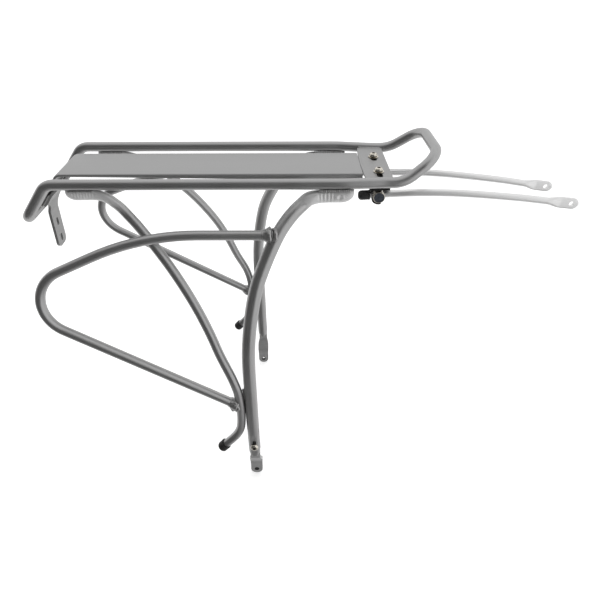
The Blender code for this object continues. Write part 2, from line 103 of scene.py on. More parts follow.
# Stay clamps
CLAMP_X = 124.6
STAY_AXIS_Z = -18.6
SCREW_Y = {"right": 25, "left": 14.5}
STAY_OFFSET = 7.5
STAY_TILT = {"right": 0, "left": -1.7}
STAY_SET_BACK = {"right": 0, "left": 1.5}
STAY_REAR, STAY_FRONT = -17.5, 195
STAY_STRAIGHT_X, STAY_STRAIGHT_Z, STAY_SLOPE = 164, -7.4, -0.112  # its straight front stretch
STAY_EYE_X = 188
EYE_RADIUS = 5.7
EYE_HEAD_OUT = 15.5
SCREW_RADIUS = 2.4


def at(x, y, z):
    """A point in metres from millimetres, with z counted from the rail's plane."""
    return Vector((x * MM, y * MM, (RAIL_Z + z) * MM))


def box_mm(node):
    """A CAD node's lowest and highest corner in millimetres, heights from the rail's plane."""
    rail_plane = Vector((0, 0, RAIL_Z))
    return [corner / MM - rail_plane for corner in map(Vector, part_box(node))]


# ---------------------------------------------------------------- mesh helpers


def rounded_path(corners, steps_per_turn=150):
    """The centre line of a bent tube. Each corner is (point, bend radius in mm)."""
    points = [corners[0][0]]
    for before, (corner, radius), after in zip(corners, corners[1:], corners[2:]):
        back = (before[0] - corner).normalized()
        ahead = (after[0] - corner).normalized()
        turn = math.pi - back.angle(ahead)
        start = corner + back * radius * MM * math.tan(turn / 2)
        centre = corner + (back + ahead).normalized() * radius * MM / math.cos(turn / 2)
        axis = back.cross(ahead).normalized()
        steps = max(4, round(steps_per_turn * turn / math.tau))
        for step in range(steps + 1):
            swing = Matrix.Rotation(-turn * step / steps, 3, axis)
            points.append(centre + swing @ (start - centre))
    points.append(corners[-1][0])
    return points


def smooth_path(knots, steps=12):
    """A Catmull-Rom curve through the knots, with steps points in each span."""
    padded = [2 * knots[0] - knots[1], *knots, 2 * knots[-1] - knots[-2]]
    points = []
    for a, b, c, d in zip(padded, padded[1:], padded[2:], padded[3:]):
        for step in range(steps):
            t = step / steps
            points.append(
                b
                + (c - a) * 0.5 * t
                + (2 * a - 5 * b + 4 * c - d) * 0.5 * t**2
                + (3 * b - a - 3 * c + d) * 0.5 * t**3
            )
    points.append(knots[-1])
    return points


def path_length(points):
    """Length of a line of points, in mm."""
    return sum((after - before).length for before, after in zip(points, points[1:])) / MM


def resampled(points, gap):
    """The same line with points gap(travelled) mm apart, and its own two ends."""
    total = path_length(points)
    found = [points[0]]
    travelled, wanted = 0, gap(0)
    for before, after in zip(points, points[1:]):
        length = (after - before).length / MM
        while length and wanted <= travelled + length:
            found.append(before.lerp(after, (wanted - travelled) / length))
            wanted += gap(wanted)
        travelled += length
    if (points[-1] - found[-1]).length > 0.05 * MM or len(found) < 2:
        found.append(points[-1])
    return found if total else points


def circle(radius, sides=TUBE_SIDES):
    angles = [math.tau * index / sides for index in range(sides)]
    return [(radius * math.cos(angle), radius * math.sin(angle)) for angle in angles]


def eased(share):
    """A smooth step from 0 to 1."""
    share = min(1, max(0, share))
    return share * share * (3 - 2 * share)


def skin(rings, closed=False):
    """Joins rings of points into a closed body, with end faces unless the rings close."""
    bm = bmesh.new()
    loops = [[bm.verts.new(point) for point in ring] for ring in rings]
    pairs = list(zip(loops, loops[1:]))
    if closed:
        pairs.append((loops[-1], loops[0]))
    else:
        bm.faces.new(loops[0])
        bm.faces.new(loops[-1])
    for ring, following in pairs:
        for index in range(len(ring)):
            nearby = (index + 1) % len(ring)
            bm.faces.new((ring[index], ring[nearby], following[nearby], following[index]))
    bmesh.ops.recalc_face_normals(bm, faces=bm.faces)
    return bm


def swept_mesh(points, section, closed=False, adjust=None):
    """Sweeps a section along points. section(travelled) gives (sideways, up) offsets in mm, and
    adjust(point, centre, travelled) may move a finished point."""
    rings = []
    up = UP
    travelled = 0
    for index, point in enumerate(points):
        before = points[index - 1] if index or closed else point
        after = points[(index + 1) % len(points)] if index + 1 < len(points) or closed else point
        if index:
            travelled += (point - before).length / MM
        ahead = (after - before).normalized()
        up = (up - ahead * up.dot(ahead)).normalized()
        sideways = ahead.cross(up)
        ring = [point + (sideways * u + up * v) * MM for u, v in section(travelled)]
        if adjust:
            ring = [adjust(corner, point, travelled) for corner in ring]
        rings.append(ring)
    return skin(rings, closed)


def turned_mesh(profile, base, axis, sides=48):
    """A solid of revolution. profile is (radius, distance along axis) in mm, from base."""
    turn = UP.rotation_difference(axis).to_matrix()
    rings = [
        [base + turn @ Vector((u, v, along)) * MM for u, v in circle(radius, sides)]
        for radius, along in profile
    ]
    return skin(rings)


def arc(centre, radius, start, end, steps=8):
    """Points on an arc in a plane, from start to end in degrees."""
    points = []
    for step in range(steps + 1):
        angle = math.radians(start + (end - start) * step / steps)
        points.append((centre[0] + radius * math.cos(angle), centre[1] + radius * math.sin(angle)))
    return points


def cylinder_mesh(radius, start, end, sides=48):
    axis = end - start
    return turned_mesh([(radius, 0), (radius, axis.length / MM)], start, axis, sides)


def through_hole(centre, axis, radius, reach=12):
    return cylinder_mesh(radius, centre - axis * reach * MM, centre + axis * reach * MM)


def box_mesh(low, high):
    bm = bmesh.new()
    bmesh.ops.create_cube(bm, size=1)
    bmesh.ops.scale(bm, vec=high - low, verts=bm.verts)
    bmesh.ops.translate(bm, vec=(high + low) / 2, verts=bm.verts)
    return bm


def prism_mesh(outline, low, high, place):
    """An outline of (u, v) pushed from low to high; place(u, v, w) gives the point."""
    return skin([[place(u, v, w) for u, v in outline] for w in (low, high)])


def stadium(half_length, half_width, steps=14):
    """A slot's outline round (0, 0), its straight sides along v."""
    straight = half_length - half_width
    upper = arc((0, straight), half_width, 0, 180, steps)
    return upper + arc((0, -straight), half_width, 180, 360, steps)


def strip_mesh(stations, thickness, place):
    """A bent flat strip. Each station is (u, v, half width); place(u, v, w) gives the point."""
    rings = []
    for index, (u, v, half) in enumerate(stations):
        u_before, v_before, _ = stations[max(index - 1, 0)]
        u_after, v_after, _ = stations[min(index + 1, len(stations) - 1)]
        across = Vector((v_before - v_after, u_after - u_before)).normalized() * thickness / 2
        corners = ((half, across), (-half, across), (-half, -across), (half, -across))
        rings.append([place(u + o.x, v + o.y, w) for w, o in corners])
    return skin(rings)


def linked_object(name, bm):
    """An object in the scene with this body as its mesh."""
    mesh = bpy.data.meshes.new(name)
    bm.to_mesh(mesh)
    bm.free()
    obj = bpy.data.objects.new(name, mesh)
    bpy.context.scene.collection.objects.link(obj)
    return obj


def loose_object(bm):
    bmesh.ops.recalc_face_normals(bm, faces=bm.faces)
    return linked_object("loose", bm)


def carved(bm, cuts=(), additions=()):
    """The body after exact Booleans: first with each addition, then without each cut."""
    body = loose_object(bm)
    helpers = []
    for operation, meshes in (("UNION", additions), ("DIFFERENCE", cuts)):
        for helper_mesh in meshes:
            helper = loose_object(helper_mesh)
            modifier = body.modifiers.new(operation, "BOOLEAN")
            modifier.operation = operation
            modifier.solver = "EXACT"
            modifier.object = helper
            helpers.append(helper)
    bpy.context.view_layer.update()
    graph = bpy.context.evaluated_depsgraph_get()
    result = bmesh.new()
    result.from_object(body, graph)
    for obj in [body, *helpers]:
        bpy.data.objects.remove(obj, do_unlink=True)
    return result


def piece(name, bm, finish, body, nodes=(), edge=0.0, sharp=38):
    """A finished piece that rides on a body and stands for nodes. edge rounds its edges, in mm."""
    obj = linked_object(name, bm)
    obj.data.shade_smooth()
    obj.data.materials.append(finish)
    if edge:
        bevel = obj.modifiers.new("rounded edges", "BEVEL")
        bevel.width = edge * MM
        bevel.segments = 3
        bevel.limit_method = "ANGLE"
        bevel.angle_limit = math.radians(sharp)
        bevel.harden_normals = True
    else:
        obj.data.set_sharp_from_angle(angle=math.radians(sharp))
    if nodes:
        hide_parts(*nodes)
    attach(obj, body)
    return obj


def paint_faces(obj, finish, chosen):
    """Gives a second finish to the faces whose centre is chosen."""
    obj.data.materials.append(finish)
    for face in obj.data.polygons:
        if chosen(face.center):
            face.material_index = len(obj.data.materials) - 1


# ------------------------------------------------------------------ materials


def add_node(tree, kind, inputs):
    """A new node. Each input is given as a value, or as the socket that feeds it."""
    node = tree.nodes.new(kind)
    for name, value in inputs.items():
        if isinstance(value, bpy.types.NodeSocket):
            tree.links.new(value, node.inputs[name])
        else:
            node.inputs[name].default_value = value
    return node


def mapped(tree, value, start, end, low=0.0, high=1.0, smooth=False):
    """A number that runs from low to high while value runs from start to end."""
    inputs = {"Value": value, "From Min": start, "From Max": end, "To Min": low, "To Max": high}
    ramp = add_node(tree, "ShaderNodeMapRange", inputs)
    if smooth:
        ramp.interpolation_type = "SMOOTHSTEP"
    return ramp.outputs["Result"]


NOISE_SPREAD = (0.3, 0.7)  # nearly all of a noise texture's values lie between these


class Finish:
    """A node material on the Principled shader, with helpers for its procedural detail."""

    def __init__(self, name, metallic):
        self.material = bpy.data.materials.new(name)
        self.material.use_nodes = True
        self.tree = self.material.node_tree
        self.shader = self.tree.nodes["Principled BSDF"]
        self.shader.inputs["Metallic"].default_value = metallic
        self.place = self.add("ShaderNodeTexCoord").outputs["Object"]

    def add(self, kind, **inputs):
        return add_node(self.tree, kind, inputs)

    def stretched(self, scale):
        """Object coordinates with each axis scaled, for grain that runs one way."""
        return self.add("ShaderNodeMapping", Scale=scale, Vector=self.place).outputs["Vector"]

    def noise(self, scale, detail=2.0, roughness=0.5, place=None):
        look = {"Scale": scale, "Detail": detail, "Roughness": roughness}
        return self.add("ShaderNodeTexNoise", **look, Vector=place or self.place).outputs["Fac"]

    def cells(self, scale):
        texture = self.add("ShaderNodeTexVoronoi", Scale=scale, Vector=self.place)
        return texture.outputs["Distance"]

    def blend(self, share, low, high):
        """A colour between low and high by share."""
        ramp = self.add("ShaderNodeValToRGB", Fac=share)
        stops = zip(ramp.color_ramp.elements, NOISE_SPREAD, (low, high))
        for element, position, colour in stops:
            element.position = position
            element.color = (*colour, 1)
        return ramp.outputs["Color"]

    def height_mask(self, low, high):
        """A number that rises smoothly from 0 to 1 between two heights in metres."""
        split = self.add("ShaderNodeSeparateXYZ", Vector=self.place)
        return mapped(self.tree, split.outputs["Z"], low, high, smooth=True)

    def multiplied(self, first, second, share=None):
        mix = self.tree.nodes.new("ShaderNodeMix")
        mix.data_type = "RGBA"
        mix.blend_type = "MULTIPLY"
        mix.inputs["Factor"].default_value = 1
        for name, socket in (("Factor", share), ("A", first), ("B", second)):
            if socket:
                self.tree.links.new(socket, mix.inputs[name])
        return mix.outputs["Result"]

    def ranged(self, share, low, high):
        """A number between low and high by share."""
        return mapped(self.tree, share, *NOISE_SPREAD, low, high)

    def raised(self, height, distance, below=None):
        """A bump of that distance in mm, on top of the bump below."""
        inputs = {"Height": height, "Distance": distance * MM, "Strength": 1.0}
        if below:
            inputs["Normal"] = below
        return self.add("ShaderNodeBump", **inputs).outputs["Normal"]

    def finished(self, colour, roughness, normal):
        for name, socket in (("Base Color", colour), ("Roughness", roughness), ("Normal", normal)):
            self.tree.links.new(socket, self.shader.inputs[name])
        return self.material


def grey(value, warmth=0.0):
    return (value + warmth, value, value - warmth)


def satin_silver(name="satin_silver", pressed_share=0.0):
    """The tubes' silver: fine flakes, slow cloudiness and a faint orange peel. With a
    pressed_share it turns paler and more matt just under the rail, where tubes are pressed."""
    metallic = 0.92
    finish = Finish(name, metallic)
    flakes = finish.noise(2600, 1)
    clouds = finish.noise(38, 3)
    colour = finish.multiplied(
        finish.blend(flakes, grey(0.405), grey(0.455)),
        finish.blend(clouds, grey(0.95, 0.004), grey(1.0)),
    )
    peel = finish.raised(finish.noise(420, 2), 0.012)
    normal = finish.raised(flakes, 0.006, below=peel)
    if pressed_share:
        near_rail = finish.height_mask((RAIL_Z - 26) * MM, (RAIL_Z - 13) * MM)
        pale = finish.blend(clouds, grey(1.3), grey(1.45))
        colour = finish.multiplied(colour, pale, near_rail)
        dulled = mapped(finish.tree, near_rail, 0, 1, metallic, metallic * (1 - pressed_share))
        finish.tree.links.new(dulled, finish.shader.inputs["Metallic"])
    return finish.finished(colour, finish.ranged(clouds, 0.30, 0.37), normal)


def drawn_silver():
    """The deck's silver over an extruded sheet: fine lines run along it."""
    finish = Finish("drawn_silver", 0.9)
    lines = finish.noise(1, 4, 0.62, finish.stretched((9, 900, 900)))
    flakes = finish.noise(2400, 1)
    colour = finish.multiplied(
        finish.blend(lines, grey(0.395), grey(0.435)),
        finish.blend(flakes, grey(0.94), grey(1.0)),
    )
    normal = finish.raised(flakes, 0.008, below=finish.raised(lines, 0.016))
    return finish.finished(colour, finish.ranged(lines, 0.36, 0.44), normal)


def blasted_silver():
    """The front plate's and the bracket's silver: a sandy, more matt grain."""
    finish = Finish("blasted_silver", 0.88)
    grain = finish.noise(1500, 2, 0.7)
    clouds = finish.noise(60, 3)
    colour = finish.multiplied(
        finish.blend(grain, grey(0.35), grey(0.45)),
        finish.blend(clouds, grey(0.96, 0.004), grey(1.0)),
    )
    normal = finish.raised(grain, 0.06)
    return finish.finished(colour, finish.ranged(grain, 0.38, 0.5), normal)


def weld_silver():
    """Silver over weld beads: the same colour on a rougher, pitted skin."""
    finish = Finish("weld_silver", 0.9)
    pits = finish.noise(700, 3, 0.65)
    colour = finish.blend(pits, grey(0.34, 0.004), grey(0.46))
    normal = finish.raised(pits, 0.12)
    return finish.finished(colour, finish.ranged(pits, 0.26, 0.4), normal)


def bright_aluminium():
    """Bare drawn aluminium of the stays: pale, with fine lines along the rod."""
    finish = Finish("bright_aluminium", 0.9)
    lines = finish.noise(1, 4, 0.6, finish.stretched((14, 1100, 1100)))
    clouds = finish.noise(55, 3)
    colour = finish.multiplied(
        finish.blend(lines, grey(0.82), grey(0.9)),
        finish.blend(clouds, grey(0.94, 0.004), grey(1.0)),
    )
    normal = finish.raised(lines, 0.008)
    return finish.finished(colour, finish.ranged(clouds, 0.28, 0.38), normal)


def pressed_aluminium():
    """Tumbled aluminium of the foot tabs: pale grey with small scuffs."""
    finish = Finish("pressed_aluminium", 0.8)
    scuffs = finish.noise(260, 4, 0.7)
    fine = finish.noise(1800, 2)
    colour = finish.multiplied(
        finish.blend(scuffs, grey(0.5), grey(0.58)),
        finish.blend(fine, grey(0.93), grey(1.0)),
    )
    normal = finish.raised(fine, 0.012, below=finish.raised(scuffs, 0.02))
    return finish.finished(colour, finish.ranged(scuffs, 0.36, 0.48), normal)


def nickel():
    """Nickel plate on the screws, nuts and eye bolts: warm and glossy, with light handling marks."""
    finish = Finish("nickel", 1.0)
    marks = finish.noise(500, 4, 0.7)
    colour = finish.blend(marks, (0.66, 0.61, 0.52), (0.8, 0.77, 0.7))
    normal = finish.raised(marks, 0.02)
    return finish.finished(colour, finish.ranged(marks, 0.1, 0.24), normal)


def painted_socket_shade():
    """Painted shade on the bottom and walls of a screw's socket: a dull, near-black brown where shade falls
    in the recess.
    """
    finish = Finish("painted_socket_shade", 0.6)
    # Mottle in the painted shade.
    stains_and_shade_mottle = finish.noise(900, 3)
    colour = finish.blend(stains_and_shade_mottle, (0.02, 0.012, 0.008), (0.075, 0.05, 0.035))
    return finish.finished(colour, finish.ranged(stains_and_shade_mottle, 0.35, 0.6), finish.raised(stains_and_shade_mottle, 0.03))


def slate_face():
    """The clamp bolts' end face: blue-black with scratches across it."""
    finish = Finish("slate_face", 0.55)
    turned = finish.stretched((260, 40, 1500))
    scratches = finish.noise(1, 3, 0.7, turned)
    stains_and_shade_mottle = finish.noise(420, 3)
    colour = finish.multiplied(
        finish.blend(scratches, (0.03, 0.036, 0.046), (0.115, 0.13, 0.155)),
        finish.blend(stains_and_shade_mottle, grey(0.7), grey(1.0)),
    )
    return finish.finished(colour, finish.ranged(stains_and_shade_mottle, 0.3, 0.5), finish.raised(scratches, 0.03))


def anodised_black():
    """The clamp blocks: black anodised with slightly greyer wear and a fine texture. The same black paints
    the shade on the foot eyelets' walls.
    """
    finish = Finish("anodised_black", 0.35)
    wear = finish.noise(180, 4, 0.65)
    fine = finish.noise(1900, 2)
    colour = finish.blend(wear, grey(0.008), grey(0.022))
    normal = finish.raised(fine, 0.02)
    return finish.finished(colour, finish.ranged(wear, 0.32, 0.5), normal)


def soft_rubber():
    """The end caps: black soft plastic with a leathery moulded grain."""
    finish = Finish("soft_rubber", 0.0)
    grain = finish.cells(1300)
    dust = finish.noise(90, 4, 0.6)
    colour = finish.blend(dust, grey(0.006), grey(0.018))
    normal = finish.raised(grain, 0.03)
    return finish.finished(colour, finish.ranged(dust, 0.42, 0.6), normal)


# ---------------------------------------------------------------------- tubes


def rail_path():
    half = [
        (at(REAR_BAR_X, RAIL_HALF_WIDTH, REAR_BAR_Z), 13),
        (at(REAR_BEND_X, RAIL_HALF_WIDTH, 0), 15),
        (at(90, RAIL_HALF_WIDTH, 0), 120),
        (at(128, RAIL_FRONT_HALF_WIDTH, -0.5), 100),
        (at(145, RAIL_FRONT_HALF_WIDTH, -0.5), 30),
        (at(176.5, 38, 22.5), 23),
    ]
    mirrored = [(Vector((p.x, -p.y, p.z)), radius) for p, radius in reversed(half)]
    middle = (at(REAR_BAR_X, 0, REAR_BAR_Z), 0)
    return rounded_path([middle, *half, *mirrored, middle])[:-1]


def make_top_rail(finish):
    tube = swept_mesh(rail_path(), lambda travelled: circle(RAIL_RADIUS), closed=True)
    return piece("rail_tube", tube, finish, "root", ["top_rail"])


def crimped_section(radius, length, height, width, press_marks, nose, blend=14):
    """A round section that starts as a tall, narrow crimp under the rail, with a rounded nose.
    press_marks(travelled, v) is how far in mm the press has pushed the sides in."""

    def section(travelled):
        share = eased((travelled - length) / blend)
        half_height = height / 2 * (1 - share) + radius * share
        half_width = width / 2 * (1 - share) + radius * share
        to_nose = max(0, 1 - travelled / nose)
        shrink = 0.3 + 0.7 * math.sqrt(1 - to_nose**2)
        lift = half_height * (1 - shrink)
        offsets = []
        for u, v in circle(1):
            pushed = half_width * shrink - press_marks(travelled, v) * abs(u)
            offsets.append((u * pushed, v * half_height * shrink + lift))
        return offsets

    return section


def ripples(travelled, v, start, end, pitch, depth):
    """Upright press marks in a row, fading towards the crimp's top and bottom."""
    inside = eased((travelled - start) / pitch) * eased((end - travelled) / pitch)
    wave = 0.5 - 0.5 * math.cos(math.tau * (travelled - start) / pitch)
    return depth * inside * wave * (1 - v * v)


def leg_press_marks(travelled, v):
    """Five ripples, then a round dimple near the crimp's front end."""
    distance = math.hypot(travelled - 13, v * 6.2)
    dimple = 0.8 * math.exp(-((distance / 1.5) ** 2))
    ring = 0.3 * math.exp(-(((distance - 3.1) / 0.9) ** 2))
    return ripples(travelled, v, 17, 34, 3.4, 0.8) + dimple - ring


def brace_press_marks(travelled, v):
    return ripples(travelled, v, 3, 28, 2.7, 0.55)


def leg_path(sign):
    line = [
        (99.3, 51, -11.65), (64, 51, -12.7), (51.5, 51.8, -20), (38, 60.2, -31.8),
        (26.7, 70.6, -47), (13.8, 82.8, -74), (6.6, 89.9, -96.5), (1, 96.1, -129.8),
        (-1.8, 100, -166), (-1.5, 102.6, -215), (-0.9, 104.8, -260), (-0.2, 105, LEG_END_Z),
    ]
    return smooth_path([at(x, sign * y, z) for x, y, z in line])


def brace_path(side, sign):
    lift = HOOK_LIFT[side]
    line = [
        (-164.3, 51, -10.3), (-134, 51, -10.5), (-118.6, 54.9, -17.5), (-107.1, 60.7, -27),
        (-94.5, 67, -40.5), (-75.7, 76.5, -65), (-61.7, 83.5, -87), (-49.2, 89.9, -110.5),
        (-38.7, 95.1, -135.5), (-29.5, 99.8, -162), (-18.6, 104.9, -189), (-13.6, 105.5, -212),
        (-12.7, 105.6, -247 + lift), (-17.9, 105.6, -267.5 + lift), (-36.3, 105.6, -289.5 + lift),
    ]
    return smooth_path([at(x, sign * y, z) for x, y, z in line])


def crimp_gap(travelled):
    """Fine steps along the crimp's press marks and coarser ones along the plain tube."""
    return 0.45 if travelled < 46 else 2.2


def make_leg(side, sign, finish):
    """A main leg: crimped under the rail; at the foot a flat with a slot, and a rounded end."""
    path = resampled(leg_path(sign), crimp_gap)
    tip = path[-1]
    back = (path[-2] - tip).normalized()
    path = [p for p in path if (p - tip).length > (LEG_END_ROUNDING + 0.4) * MM]
    path += [tip + back * rest * MM for rest in (LEG_END_ROUNDING, 4.6, 3.7, 2.9, 2.2, 1.5, 0.9, 0.4, 0.05)]
    total = path_length(path)

    def foot_shape(point, centre, travelled):
        to_end = total - travelled
        limit = LEG_RADIUS - (LEG_RADIUS - LEG_FLAT_OUT) * eased((33 - to_end) / 6)
        offset = point - centre
        offset.y = sign * min(limit * MM, sign * offset.y)
        if to_end < LEG_END_ROUNDING:
            offset.x *= 0.45 + 0.55 * math.sqrt(max(0, 1 - (1 - to_end / LEG_END_ROUNDING) ** 2))
        return centre + offset

    section = crimped_section(LEG_RADIUS, 28, 12.5, 9.6, leg_press_marks, nose=12)
    tube = swept_mesh(path, section, adjust=foot_shape)
    y = sign * FOOT_Y
    room = TAB_THICKNESS / 2 + 0.4
    slit = box_mesh(at(-10, y - room, LEG_END_Z - 5), at(10, y + room, LEG_SLIT_TOP_Z))
    half_width = FOOT_SHANK_RADIUS + 0.3
    outline = stadium(half_width + FOOT_SLOT_TRAVEL / 2, half_width)
    middle = FOOT_SCREW_Z + FOOT_SLOT_TRAVEL / 2
    slot = prism_mesh(outline, y, y + sign * 12, lambda u, v, w: at(u, w, middle + v))
    leg = carved(tube, cuts=[slit, slot])
    return piece(f"leg_tube_{side}", leg, finish, "root", [f"leg_{side}"])


def make_brace(side, sign, finish):
    path = resampled(brace_path(side, sign), crimp_gap)
    section = crimped_section(BRACE_RADIUS, 28, 10, 6.6, brace_press_marks, nose=11)
    return piece(
        f"brace_tube_{side}", swept_mesh(path, section), finish, "root", [f"brace_{side}"]
    )


def loop_path(sign):
    def on_plane(x, z):
        return at(x, sign * (LOOP_A + LOOP_B * x + LOOP_C * z), z)

    corners = [
        (on_plane(18, -40.9), 0),
        (on_plane(-94, -36.5), 230),
        (on_plane(-232.5, -93), 34),
        (on_plane(-22.1, -220.3), 0),
    ]
    return rounded_path(corners)


def make_pannier_loop(side, sign, finish):
    """The side loop; each end runs on a little, into the leg and into the brace."""
    path = loop_path(sign)
    ends = []
    for end, following, reach in ((path[0], path[1], 6.5), (path[-1], path[-2], 5.5)):
        ends.append(end + (end - following).normalized() * reach * MM)
    tube = swept_mesh([ends[0], *path, ends[1]], lambda travelled: circle(LOOP_RADIUS))
    return piece(f"loop_tube_{side}", tube, finish, "root", [f"pannier_loop_{side}"])


# ---------------------------------------------------------------------- welds


def make_bead(name, path, radius, finish, closed=False, pitch=2.0):
    """A weld bead: overlapping scallops along path, each a little different from the last."""
    path = resampled(path, lambda travelled: pitch / 6)
    phase = random.Random(name).uniform(0, 50)
    if closed and (path[0] - path[-1]).length < 0.2 * MM:
        path.pop()
    total = path_length(path)

    def section(travelled):
        scallop = abs(math.sin(math.pi * travelled / pitch))
        wander = noise.noise(Vector((travelled * 0.35 + phase, 0, 0)))
        size = radius * (0.8 + 0.2 * scallop**0.7 + 0.22 * wander)
        if not closed:
            near_end = min(travelled, total - travelled) / radius
            size *= math.sqrt(max(0.03, 1 - max(0, 1 - near_end) ** 2))
        return circle(size, 14)

    return piece(name, swept_mesh(path, section, closed), finish, "root", sharp=80)


def saddle(end, ahead, radius, line, line_radius, count=40):
    """The closed line on which a tube that ends there, running ahead, meets the tube along line."""
    tree = kdtree.KDTree(len(line))
    for index, point in enumerate(line):
        tree.insert(point, index)
    tree.balance()
    up = ahead.orthogonal().normalized()
    sideways = ahead.cross(up)
    loop = []
    for index in range(count):
        angle = math.tau * index / count
        rim = end + (up * math.cos(angle) + sideways * math.sin(angle)) * radius * MM
        reach = -9
        while reach < 9 and tree.find(rim + ahead * reach * MM)[2] > line_radius * MM:
            reach += 0.25
        loop.append(rim + ahead * reach * MM)
    loop.append(loop[0])
    return loop


def make_weld_collar(name, end, ahead, finish):
    """Lumpy weld metal that swells from the loop's tube to where it meets the other tube."""
    profile = [(LOOP_RADIUS + 0.05, -6.6), (LOOP_RADIUS + 0.5, -6.2)]
    for step in range(13):
        share = step / 12
        profile.append((LOOP_RADIUS + 0.6 + 2.7 * eased(share), -6 + 7.5 * share))
    profile += [(LOOP_RADIUS + 2.4, 2.6), (LOOP_RADIUS + 0.6, 3.4)]
    collar = turned_mesh(profile, end, ahead)
    phase = Vector((random.Random(name).uniform(0, 50), 0, 0))
    for vertex in collar.verts:
        along = (vertex.co - end).dot(ahead)
        centre = end + ahead * along
        lump = noise.noise(vertex.co / MM * 0.28 + phase)
        vertex.co = centre + (vertex.co - centre) * (1 + 0.16 * lump)
    piece(name, collar, finish, "root", sharp=80)


def make_frame_welds(side, sign, finish):
    """Beads where the loop meets leg and brace, along both crimps, and between brace and leg."""
    leg = resampled(leg_path(sign), lambda travelled: 1)
    brace = resampled(brace_path(side, sign), lambda travelled: 1)
    loop = loop_path(sign)
    ends = (
        ("upper", loop[0], (loop[0] - loop[1]).normalized(), leg, LEG_RADIUS, 1.9, 2.5),
        ("lower", loop[-1], (loop[-1] - loop[-2]).normalized(), brace, BRACE_RADIUS, 2.1, 4.5),
    )
    for label, end, ahead, line, radius, size, reach in ends:
        foot = end + ahead * reach * MM
        make_weld_collar(f"weld_collar_{label}_{side}", foot, ahead, finish)
        seam = saddle(end, ahead, LOOP_RADIUS + 0.4, line, radius + 0.5)
        make_bead(f"weld_loop_{label}_{side}", seam, size, finish, closed=True, pitch=3.4)
    for label, rear, front, half in (("leg", 66, 96, 3.6), ("brace", -161, -138, 2.6)):
        for face, offset in (("outer", half), ("inner", -half)):
            y = sign * (CRIMP_Y + offset)
            seam = [at(rear, y, CRIMP_TOP_Z), at(front, y, CRIMP_TOP_Z)]
            make_bead(f"weld_{label}_crimp_{face}_{side}", seam, 1.1, finish)
    contact = []
    for z in range(-240, -200, 5):
        height = at(0, 0, z).z
        leg_point = min(leg, key=lambda p: abs(p.z - height))
        brace_point = min(brace, key=lambda p: abs(p.z - height))
        share = LEG_RADIUS / (LEG_RADIUS + BRACE_RADIUS)
        contact.append(leg_point.lerp(brace_point, share) - ACROSS * sign * 2.6 * MM)
    make_bead(f"weld_leg_to_brace_{side}", contact, 1.3, finish)


# --------------------------------------------------------------------- sheets


def flap_direction():
    """The way that the rail's rear bends and the deck's flap run up."""
    return Vector((REAR_BEND_X - REAR_BAR_X, 0, -REAR_BAR_Z)).normalized()


def mirrored(outline):
    return [(-u, v) for u, v in reversed(outline)]


def make_deck(finish):
    """The deck channel: rounded folds along both sides and a flap down to the rear bar."""
    _, high = box_mm("deck_channel")
    half = high.y
    slope = flap_direction()
    clearance = RAIL_RADIUS + DECK_THICKNESS + 0.2
    flap_end = at(REAR_BAR_X, 0, REAR_BAR_Z) + slope * clearance * MM
    front, bend = at(high.x + 0.2, 0, DECK_RISE), at(REAR_BEND_X + 1, 0, DECK_RISE)
    path = rounded_path([(front, 0), (bend, 9), (flap_end, 0)])
    thickness, fold = DECK_THICKNESS, 2.2
    flat_length = high.x - REAR_BEND_X - 12

    def section(travelled):
        depth = 7.1 - 4.5 * eased((travelled - flat_length + 6) / 6)
        depth = max(depth, fold + 0.4)
        outer = arc((half - fold, -fold), fold, 0, 90)
        inner = arc((half - fold, -fold), fold - thickness, 90, 0)
        right = [(half, -depth + 0.4), *outer]
        left = mirrored(right)
        inside_right = [*inner, (half - thickness, -depth + 0.4)]
        inside_left = mirrored(inside_right)
        tip_left = [(-half + 0.4, -depth), (-half + thickness - 0.4, -depth)]
        tip_right = mirrored(tip_left)
        return right + left + tip_left + inside_left + inside_right + tip_right

    return piece("deck_sheet", swept_mesh(path, section), finish, "root", ["deck_channel"])


def make_front_plate(finish):
    """The plate between the rails: bulged rear edge, rounded folds into its lips, two slots."""
    low, high = box_mm("front_plate")
    half = high.y
    fold = 1.6
    shares = [1 - 2 * step / 24 for step in range(25)]
    rear_edge = [(low.x + 1.6 * share**2, half * share) for share in shares]
    outline = [*rear_edge, (high.x - fold * 0.4, -half), (high.x - fold * 0.4, half)]
    sheet = prism_mesh(outline, PLATE_TOP - PLATE_THICKNESS, PLATE_TOP, at)
    lip_outline = [(0, low.z), (1.8, low.z), (1.8, PLATE_TOP - 0.2), (0, PLATE_TOP - 0.2)]
    lips = [
        prism_mesh(lip_outline, -half, half, lambda u, v, w, x=x: at(x + u, w, v))
        for x in (low.x + 4.0, high.x - 1.8)
    ]
    cuts = []
    for side, sign in SIDES:
        inner, outer = SLOT_ENDS[side]
        middle = sign * (inner + outer) / 2
        slot = [(CLAMP_X + u, middle + v) for u, v in stadium((outer - inner) / 2, 2.8)]
        cuts.append(prism_mesh(slot, -4, 6, at))
    plate = carved(sheet, cuts=cuts, additions=lips)
    return piece("plate_sheet", plate, finish, "root", ["front_plate"], edge=0.45)


